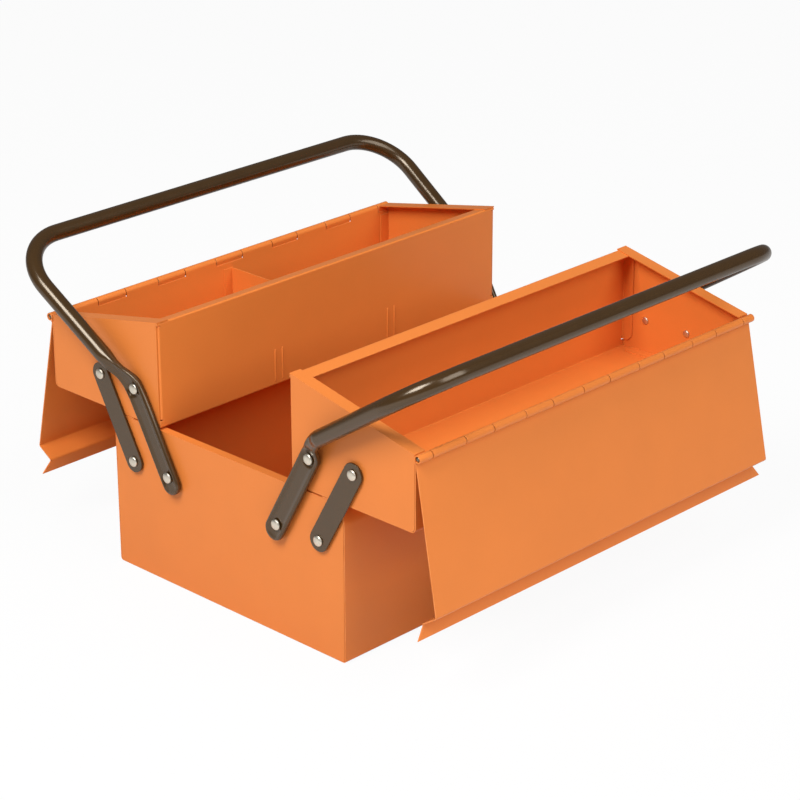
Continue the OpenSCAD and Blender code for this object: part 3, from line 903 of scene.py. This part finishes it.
def handle_ring(station, settings):
    """Points round the tube at a station, in the link's frame."""
    centre, tangent, across, along, roundness, drawn_in = station
    outward = across.cross(tangent)
    thick, edge_r = settings.flat_thickness / MM / 2, settings.flat_thickness / MM * FLAT_EDGE
    tube_r, wide_r = settings.tube_diameter / MM / 2, settings.flat_width / MM / 2
    dish, dish_w = settings.dish_depth / MM, settings.dish_width / MM
    flat_r = wide_r + (NECK_R - wide_r) * drawn_in
    end = min(along + FLAT_OVER, 0.0) if along is not None else 0.0
    half = math.sqrt(max(flat_r**2 - end**2, TINY))
    ring = []
    for k in range(settings.sides):
        angle = 2 * math.pi * k / settings.sides
        w = half * math.cos(angle)
        inset = min(max(flat_r - math.hypot(w, end), 0.0), edge_r)
        depth = thick - edge_r + math.sqrt(edge_r**2 - (edge_r - inset) ** 2)
        if abs(math.sin(angle)) < TINY:
            depth = 0.0
        elif math.sin(angle) < 0:
            depth = -depth
        elif along is not None:
            depth *= 1 + FLAT_RISE / thick * smooth((along - RISE_AT) / RISE_L)
            shore = max(1 - (2 * w / dish_w * wide_r / flat_r) ** 2, 0.0)
            reach = smooth((along + FLAT_OVER + flat_r - GROOVE_FROM_END) / GROOVE_RUN)
            depth -= GROOVE_SHARE * dish * smooth(shore * GROOVE_WALL) * reach
            pivot = min(math.hypot(w, along), math.hypot(w, along - LINK_L))
            depth += (min(thick - dish, depth) - depth) * smooth((PIT_R - pivot) / PIT_WALL)
        w = w + (tube_r * math.cos(angle) - w) * roundness
        depth = depth + (tube_r * math.sin(angle) - depth) * roundness
        ring.append(centre + across * w + outward * depth)
    return ring


def build_handle(settings, side):
    half = [handle_ring(s, settings) for s in handle_stations(side, settings)]
    flip = Vector((-1, 1, 1))
    rings = half + [[p * flip for p in ring] for ring in reversed(half[:-1])]
    place = link_frame(side)
    piece = tube_piece(f"{side}_handle_tube", [[place @ p for p in ring] for ring in rings], "link_gloss")
    settle(piece, f"{side}_handle", "brown_paint", f"{side}_handle")


# ---- Geometry Nodes ----


class NodeTree:
    """A Geometry Nodes tree whose inputs are lengths and, last, the finish."""

    def __init__(self, name, *lengths):
        self.tree = bpy.data.node_groups.new(name, "GeometryNodeTree")
        sockets = self.tree.interface
        sockets.new_socket("Geometry", in_out="INPUT", socket_type="NodeSocketGeometry")
        sockets.new_socket("Geometry", in_out="OUTPUT", socket_type="NodeSocketGeometry")
        self.names = {}
        for key in (*lengths, "finish"):
            kind = "NodeSocketMaterial" if key == "finish" else "NodeSocketFloat"
            title = key.replace("_", " ").capitalize()
            self.names[key] = sockets.new_socket(title, in_out="INPUT", socket_type=kind).identifier
        start = self.tree.nodes.new("NodeGroupInput")
        self.points = Value(self.tree, start.outputs[0])
        self.given = {key: Value(self.tree, socket) for key, socket in zip(self.names, start.outputs[1:])}

    def add(self, kind, settings=None, sockets=None):
        return add_node(self.tree, kind, settings, sockets)

    def vector(self, x=0.0, y=0.0, z=0.0):
        return self.add("ShaderNodeCombineXYZ", None, {0: x, 1: y, 2: z})

    def move(self, geometry, **place):
        """The geometry with its points at a Position or shifted by an Offset."""
        return self.add("GeometryNodeSetPosition", None, {"Geometry": geometry, **place})

    def attribute(self, name):
        """A number that each point carries."""
        return self.add("GeometryNodeInputNamedAttribute", {"data_type": "FLOAT"}, {"Name": name})

    def unit_ball(self, segments, rings):
        """A ball of radius 1, and X, Y and Z of its points."""
        sizes = {"Segments": segments, "Rings": rings, "Radius": 1.0}
        ball = self.add("GeometryNodeMeshUVSphere", None, sizes)
        parts = self.tree.nodes.new("ShaderNodeSeparateXYZ")
        feed(self.tree, parts.inputs[0], self.add("GeometryNodeInputPosition"))
        return ball, *(Value(self.tree, socket) for socket in parts.outputs)

    def instances(self, shape, offset=None, rotation=(0.0, 0.0, 0.0), scale=(1.0, 1.0, 1.0)):
        """The shape at each point, turned and stretched, with the point itself moved by offset."""
        points = self.points
        if offset is not None:
            points = self.move(points, Offset=offset)
        sockets = {"Points": points, "Instance": shape, "Rotation": rotation, "Scale": scale}
        return self.add("GeometryNodeInstanceOnPoints", None, sockets)

    def finish(self, *geometries):
        """Joins the geometries, makes them real, paints them and puts them out. Returns the tree."""
        join = self.tree.nodes.new("GeometryNodeJoinGeometry")
        for geometry in geometries:
            feed(self.tree, join.inputs[0], geometry)
        real = self.add("GeometryNodeRealizeInstances", None, {0: Value(self.tree, join.outputs[0])})
        sockets = {"Geometry": real, "Material": self.given["finish"]}
        painted = self.add("GeometryNodeSetMaterial", None, sockets)
        self.add("NodeGroupOutput", None, {0: painted})
        return self

    def run(self, name, points, attributes, values):
        """Runs the tree on points in millimetres and returns the result as a plain mesh object."""
        mesh_data = bpy.data.meshes.new(name)
        mesh_data.from_pydata([tuple(c * MM for c in p) for p in points], [], [])
        for key, numbers in attributes.items():
            layer = mesh_data.attributes.new(key, "FLOAT", "POINT")
            layer.data.foreach_set("value", numbers)
        piece = place_object(name, mesh_data)
        modifier = piece.modifiers.new("Repeat", "NODES")
        modifier.node_group = self.tree
        for key, value in values.items():
            modifier[self.names[key]] = value
        apply_modifiers(piece)
        for polygon in piece.data.polygons:
            polygon.use_smooth = True
        return piece


def rivet_tree():
    """Rivets at points: attribute end is -1 or 1 for the end of the box, grip the distance of the head."""
    sizes = ("head_diameter", "head_height", "tail_diameter", "tail_height", "shank_diameter", "sheet")
    g = NodeTree("Rivets", *sizes)
    end, grip, sheet = g.attribute("end"), g.attribute("grip"), g.given["sheet"]

    def dome(part, flatness):
        """A button: half a ball pressed flat, standing on Z = 0."""
        ball, x, y, z = g.unit_ball(*RIVET_BALL)
        upper = g.add("ShaderNodeMath", {"operation": "MAXIMUM"}, {0: z, 1: 0.0})
        rise = g.add("ShaderNodeMath", {"operation": "POWER"}, {0: upper, 1: flatness})
        radius = g.given[f"{part}_diameter"] * 0.5
        return g.move(ball, Position=g.vector(x * radius, y * radius, rise * g.given[f"{part}_height"]))

    def along_x(shape, offset, facing, stretch=1.0):
        """The shape at each point, moved outwards by offset and turned to face along X."""
        turn = g.vector(y=end * (facing * math.pi / 2))
        return g.instances(shape, g.vector(offset * end), turn, g.vector(1.0, 1.0, stretch))

    sizes = {"Vertices": SHANK_SIDES, "Radius": g.given["shank_diameter"] * 0.5, "Depth": 1.0}
    shank = g.add("GeometryNodeMeshCylinder", {"fill_type": "NGON"}, sizes)
    length_over_all = grip + sheet + SHANK_SUNK * MM
    return g.finish(
        along_x(dome("head", HEAD_FLATNESS), grip, 1),
        along_x(dome("tail", TAIL_FLATNESS), sheet * -1.0, -1),
        along_x(shank, (grip - sheet) * 0.5, 1, length_over_all),
    )


def washer_tree():
    """Flat rings at points, lying against the end plates."""
    g = NodeTree("Washers", "outer_diameter", "hole_diameter", "thickness")
    outer, hole, thick = (g.given[k] for k in ("outer_diameter", "hole_diameter", "thickness"))
    sizes = {"Resolution": WASHER_SIDES, "Radius": (outer + hole) * 0.25}
    ring = g.add("GeometryNodeCurvePrimitiveCircle", {"mode": "RADIUS"}, sizes)
    sizes = {"Width": (outer - hole) * 0.5, "Height": thick}
    band = g.add("GeometryNodeCurvePrimitiveQuadrilateral", {"mode": "RECTANGLE"}, sizes)
    washer = g.add("GeometryNodeCurveToMesh", None, {"Curve": ring, "Profile Curve": band})
    shift = g.vector(g.attribute("end") * (thick * 0.5))
    return g.finish(g.instances(washer, shift, (0.0, math.pi / 2, 0.0)))


def rib_tree():
    """Pressed ribs at points: half-round bars with ball ends, standing proud of a wall that faces -Y."""
    g = NodeTree("Ribs", "width", "length", "height")
    ball, x, y, z = g.unit_ball(*RIB_BALL)
    radius = g.given["width"] * 0.5
    side = g.add("ShaderNodeMath", {"operation": "SIGN"}, {0: z})
    tall = z * radius + side * ((g.given["length"] - g.given["width"]) * 0.5)
    return g.finish(g.instances(g.move(ball, Position=g.vector(x * radius, y * g.given["height"], tall))))


# For each body: (y, z, distance of the rivet's head) of the pivots in its end plates
PIVOTS = {
    "base": [
        (sign * y, HANDLE_PIVOT.z, grip)
        for sign in (-1, 1)
        for y, grip in ((HANDLE_PIVOT.y, HANDLE_GRIP), (STRAP_PIVOT_Y, STRAP_GRIP))
    ],
    "front_tray": [(-TRAY_PIVOT_Y, TRAY_PIVOT_Z, HANDLE_GRIP), (-TRAY_STRAP_Y, TRAY_PIVOT_Z, STRAP_GRIP)],
    "rear_tray": [(TRAY_PIVOT_Y, TRAY_PIVOT_Z, HANDLE_GRIP), (TRAY_STRAP_Y, TRAY_PIVOT_Z, STRAP_GRIP)],
}


def build_rivets(settings):
    rivets, washers, steel = rivet_tree(), washer_tree(), material("rivet_steel")
    sizes = ("head_diameter", "head_height", "tail_diameter", "tail_height", "shank_diameter")
    for body, pivots in PIVOTS.items():
        spots = [(end * END_X, y, z, end, grip * MM) for end in (-1, 1) for y, z, grip in pivots]
        points = [s[:3] for s in spots]
        ends = [s[3] for s in spots]
        values = {key: getattr(settings, key) for key in sizes} | {"sheet": SHEET * MM, "finish": steel}
        piece = rivets.run(f"{body}_rivet_set", points, {"end": ends, "grip": [s[4] for s in spots]}, values)
        settle(piece, body, "bright_steel", f"{body}_rivets")
        values = {
            "outer_diameter": settings.washer_diameter,
            "hole_diameter": settings.shank_diameter + WASHER_PLAY * MM,
            "thickness": WASHER_T * MM,
            "finish": steel,
        }
        piece = washers.run(f"{body}_washer_set", points, {"end": ends}, values)
        settle(piece, body, "bright_steel", f"{body}_washers")


def build_ribs(settings):
    middle = TRAY_Z + (RIB_FOOT + RIB_TOP) / 2
    points = [(pair * RIB_PAIR_X + s * RIB_FROM_PAIR, TRAY_Y, middle) for pair in (-1, 1) for s in (-1, 1)]
    values = {
        "width": RIB_W * MM,
        "length": (RIB_TOP - RIB_FOOT) * MM,
        "height": settings.rib_height,
        "finish": material("sheet_gloss"),
    }
    piece = rib_tree().run("rear_tray_rib_set", points, {}, values)
    settle(piece, "rear_tray", "orange_paint")


def build_hinge_pin(side):
    """A turned pin along the hinge, narrower towards its ends."""
    reach = PIN_HI.x - PIN_PROUD - PIN_SUNK
    profile = [(-reach + d, PIN_R * share) for d, share in PIN_END]
    profile += [(reach - d, PIN_R * share) for d, share in reversed(PIN_END)]
    y, z = (TRAY_Y + HINGE_V) * (-1 if side == "front" else 1), TRAY_Z + HINGE_H
    angles = [2 * math.pi * k / PIN_SIDES for k in range(PIN_SIDES)]
    rings = [[(x, y + r * math.cos(a), z + r * math.sin(a)) for a in angles] for x, r in profile]
    piece = tube_piece(f"{side}_hinge_rod", rings, "pin_steel")
    even_normals(piece)
    apply_modifiers(piece)
    settle(piece, f"{side}_tray", "bright_steel", f"{side}_hinge_pin")


# ---- Stage ----


def area_lamp(name, place, size, watts):
    """A square lamp that shines on the box."""
    data = bpy.data.lights.new(name, "AREA")
    data.shape = "RECTANGLE"
    data.size = data.size_y = size
    data.energy = watts
    lamp = place_object(name, data)
    lamp.location = place
    lamp.rotation_euler = (Vector(LAMP_TARGET) - Vector(place)).to_track_quat("-Z", "Y").to_euler()


def build_floor(settings):
    bm = bmesh.new()
    corners = ((-1, -1), (1, -1), (1, 1), (-1, 1))
    bm.faces.new([bm.verts.new((x * FLOOR_HALF, y * FLOOR_HALF, FLOOR_Z)) for x, y in corners])
    tree, place = new_material("floor_card")
    colour = settings.floor_colour
    tone = mix_colour(tree, noise(tree, place, 3.0), opaque(colour, 0.99), opaque(colour))
    sockets = {"Base Color": tone, "Roughness": 0.8, "Specular IOR Level": 0.1}
    card = add_node(tree, "ShaderNodeBsdfPrincipled", None, sockets)
    white = add_node(tree, "ShaderNodeEmission", None, {"Strength": 1.0})
    seen = add_node(tree, "ShaderNodeLightPath")
    mixed = add_node(tree, "ShaderNodeMixShader", None, {0: seen * settings.whiteness, 1: card, 2: white})
    add_node(tree, "ShaderNodeOutputMaterial", None, {"Surface": mixed})
    bmesh_piece("floor", bm, "floor_card")


def build_sky(settings):
    """A grey room whose backdrop is white to the camera."""
    world = bpy.data.worlds.new("studio")
    world.use_nodes = True
    tree = world.node_tree
    tree.nodes.clear()
    sockets = {"Color": (1, 1, 1, 1), "Strength": settings.sky}
    grey = add_node(tree, "ShaderNodeBackground", None, sockets)
    white = add_node(tree, "ShaderNodeBackground", None, sockets | {"Strength": 1.0})
    seen = add_node(tree, "ShaderNodeLightPath")
    mixed = add_node(tree, "ShaderNodeMixShader", None, {0: seen, 1: grey, 2: white})
    add_node(tree, "ShaderNodeOutputWorld", None, {"Surface": mixed})
    bpy.context.scene.world = world


def build_camera(settings):
    azimuth, elevation, roll = (math.radians(turn) for turn in CAMERA_TURNS)
    level = math.cos(elevation)
    back = Vector((math.sin(azimuth) * level, -math.cos(azimuth) * level, math.sin(elevation)))
    right = Vector((math.cos(azimuth), math.sin(azimuth), 0))
    up = back.cross(right)
    turned_right = right * math.cos(roll) + up * math.sin(roll)
    turned_up = up * math.cos(roll) - right * math.sin(roll)
    data = bpy.data.cameras.new("camera")
    data.lens = settings.lens
    data.sensor_width = SENSOR_W
    data.clip_end = 200
    camera = place_object("camera", data)
    rows = Matrix((turned_right, turned_up, back)).transposed()
    camera.matrix_world = Matrix.Translation(Vector(CAMERA_PLACE)) @ rows.to_4x4()
    bpy.context.scene.camera = camera


# ---- Operators ----


def operator(name, label, note, work):
    """An operator that runs work on the scene."""

    def execute(self, context):
        work(context.scene)
        return {"FINISHED"}

    members = {"bl_idname": f"toolbox.{name}", "bl_label": label, "bl_options": {"REGISTER", "UNDO"}}
    return type(f"TOOLBOX_OT_{name}", (bpy.types.Operator,), members | {"__doc__": note, "execute": execute})


def make_plates(scene):
    for end in ENDS:
        build_plate(f"base_end_{end}", "base", scene.toolbox_sheet)
        for side in SIDES:
            build_plate(f"{side}_tray_end_{end}", f"{side}_tray", scene.toolbox_sheet)
    build_plate("rear_tray_divider", "rear_tray", scene.toolbox_sheet)


def both(build, group):
    """Work that builds a piece on each side from a group of settings."""

    def work(scene):
        for side in SIDES:
            build(getattr(scene, group), side)

    return work


def make_pins(scene):
    for side in SIDES:
        build_hinge_pin(side)


def make_straps(scene):
    for side in SIDES:
        for end in ENDS:
            build_strap(f"{side}_strap_{end}")


def make_stage(scene):
    stage = scene.toolbox_stage
    build_floor(stage)
    build_sky(stage)
    build_camera(stage)
    area_lamp("key", KEY_PLACE, KEY_SIZE, stage.key_power)
    area_lamp("fill", FILL_PLACE, FILL_SIZE, stage.fill_power)


OPERATORS = (
    operator("base", "Base", "Folds the wrap of the base", lambda s: build_base_wrap(s.toolbox_sheet)),
    operator("plates", "Plates", "Rounds the folds of the end plates and the divider", make_plates),
    operator("trays", "Trays", "Folds the wraps of the two trays", both(build_tray_wrap, "toolbox_sheet")),
    operator("ribs", "Ribs", "Presses the ribs into the rear tray", lambda s: build_ribs(s.toolbox_sheet)),
    operator("lids", "Lids", "Folds the two lids", both(build_lid, "toolbox_sheet")),
    operator("pins", "Hinge pins", "Turns the two hinge pins", make_pins),
    operator("straps", "Straps", "Rounds the edges of the four straps", make_straps),
    operator("handles", "Handles", "Bends and flattens the handles", both(build_handle, "toolbox_handle")),
    operator("rivets", "Rivets", "Sets the rivets and washers", lambda s: build_rivets(s.toolbox_rivet)),
    operator("stage", "Stage", "Adds the floor, lamps and camera", make_stage),
)


class TOOLBOX_PT_panel(bpy.types.Panel):
    """Lists the operators that make the tool box."""

    bl_label = "Tool Box"
    bl_space_type = "VIEW_3D"
    bl_region_type = "UI"
    bl_category = "Tool Box"

    def draw(self, context):
        for made in OPERATORS:
            self.layout.operator(made.bl_idname)


SETTINGS = {
    "toolbox_sheet": SheetSettings,
    "toolbox_finish": FinishSettings,
    "toolbox_handle": HandleSettings,
    "toolbox_rivet": RivetSettings,
    "toolbox_stage": StageSettings,
}
CLASSES = (*SETTINGS.values(), *OPERATORS, TOOLBOX_PT_panel)


def register():
    for cls in CLASSES:
        bpy.utils.register_class(cls)
    for name, group in SETTINGS.items():
        setattr(bpy.types.Scene, name, PointerProperty(type=group))


def unregister():
    for name in SETTINGS:
        delattr(bpy.types.Scene, name)
    for cls in reversed(CLASSES):
        bpy.utils.unregister_class(cls)


def main():
    register()
    scene = bpy.context.scene
    scene.view_settings.view_transform = "Standard"
    for made in OPERATORS:
        group, name = made.bl_idname.split(".")
        getattr(getattr(bpy.ops, group), name)()


if __name__ == "__main__":
    main()
